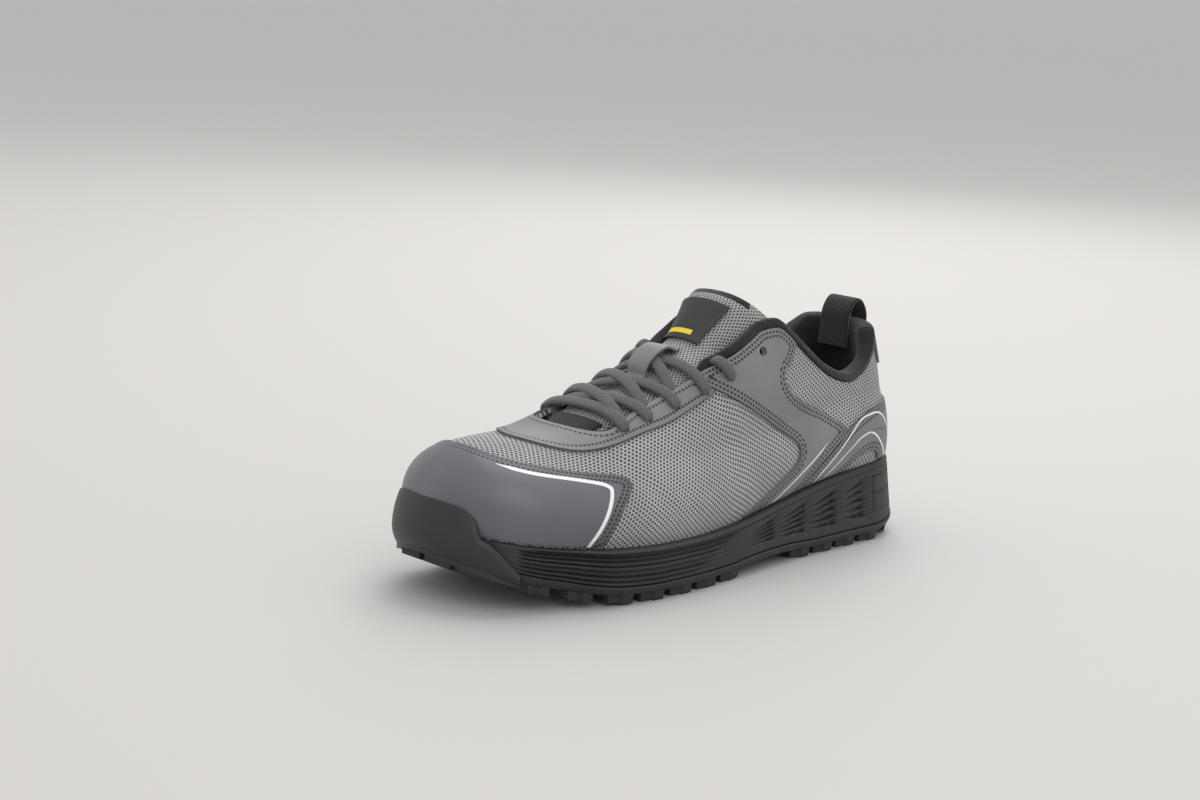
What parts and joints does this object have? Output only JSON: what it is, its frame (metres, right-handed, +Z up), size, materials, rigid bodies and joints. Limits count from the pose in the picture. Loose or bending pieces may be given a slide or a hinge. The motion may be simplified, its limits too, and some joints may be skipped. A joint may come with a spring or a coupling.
{
  "type": "low safety sneaker",
  "caption": "Low lace-up safety sneaker for the left foot: mesh upper with bonded overlays, padded collar and tongue, pull loop, rubber cup sole turned up over the toe.",
  "frame": {"origin": "the floor point under the middle of the shoe's bounding box", "axes": "+X from the toe to the heel, +Y towards the inner side of the foot, +Z up from the floor"},
  "size_m": [0.3, 0.1072, 0.13],
  "materials": {
    "outsole": "charcoal rubber, satin, with blocky lugs",
    "midsole": "charcoal moulded foam rubber, satin, grooved sides",
    "toe_bumper": "charcoal rubber, satin",
    "insole": "black knit over foam",
    "upper": "warm grey air mesh with dark pinholes",
    "toe_cap": "smooth bonded film, slight gloss",
    "eyestay": "smooth bonded film",
    "saddle_lateral": "smooth bonded film",
    "saddle_medial": "smooth bonded film",
    "heel_counter": "smooth bonded film",
    "heel_tab": "smooth bonded film",
    "collar_lining": "black ribbed knit over foam",
    "tongue": "grey air mesh over foam",
    "tongue_label": "black bonded film",
    "lace_keeper": "dark webbing",
    "throat_tab": "dark webbing",
    "laces": "grey flat woven lace",
    "pull_loop": "black ribbed webbing"
  },
  "bodies": {
    "root": {"outsole": "outsole", "midsole": "midsole", "toe_bumper": "toe_bumper", "insole": "insole", "upper": "upper", "toe_cap": "toe_cap", "eyestay": "eyestay", "saddle_lateral": "saddle_lateral", "saddle_medial": "saddle_medial", "heel_counter": "heel_counter", "heel_tab": "heel_tab", "collar_lining": "collar_lining", "tongue": "tongue", "tongue_label": "tongue_label", "lace_keeper": "lace_keeper", "throat_tab": "throat_tab", "laces": "laces", "pull_loop": "pull_loop"}
  },
  "joints": []
}
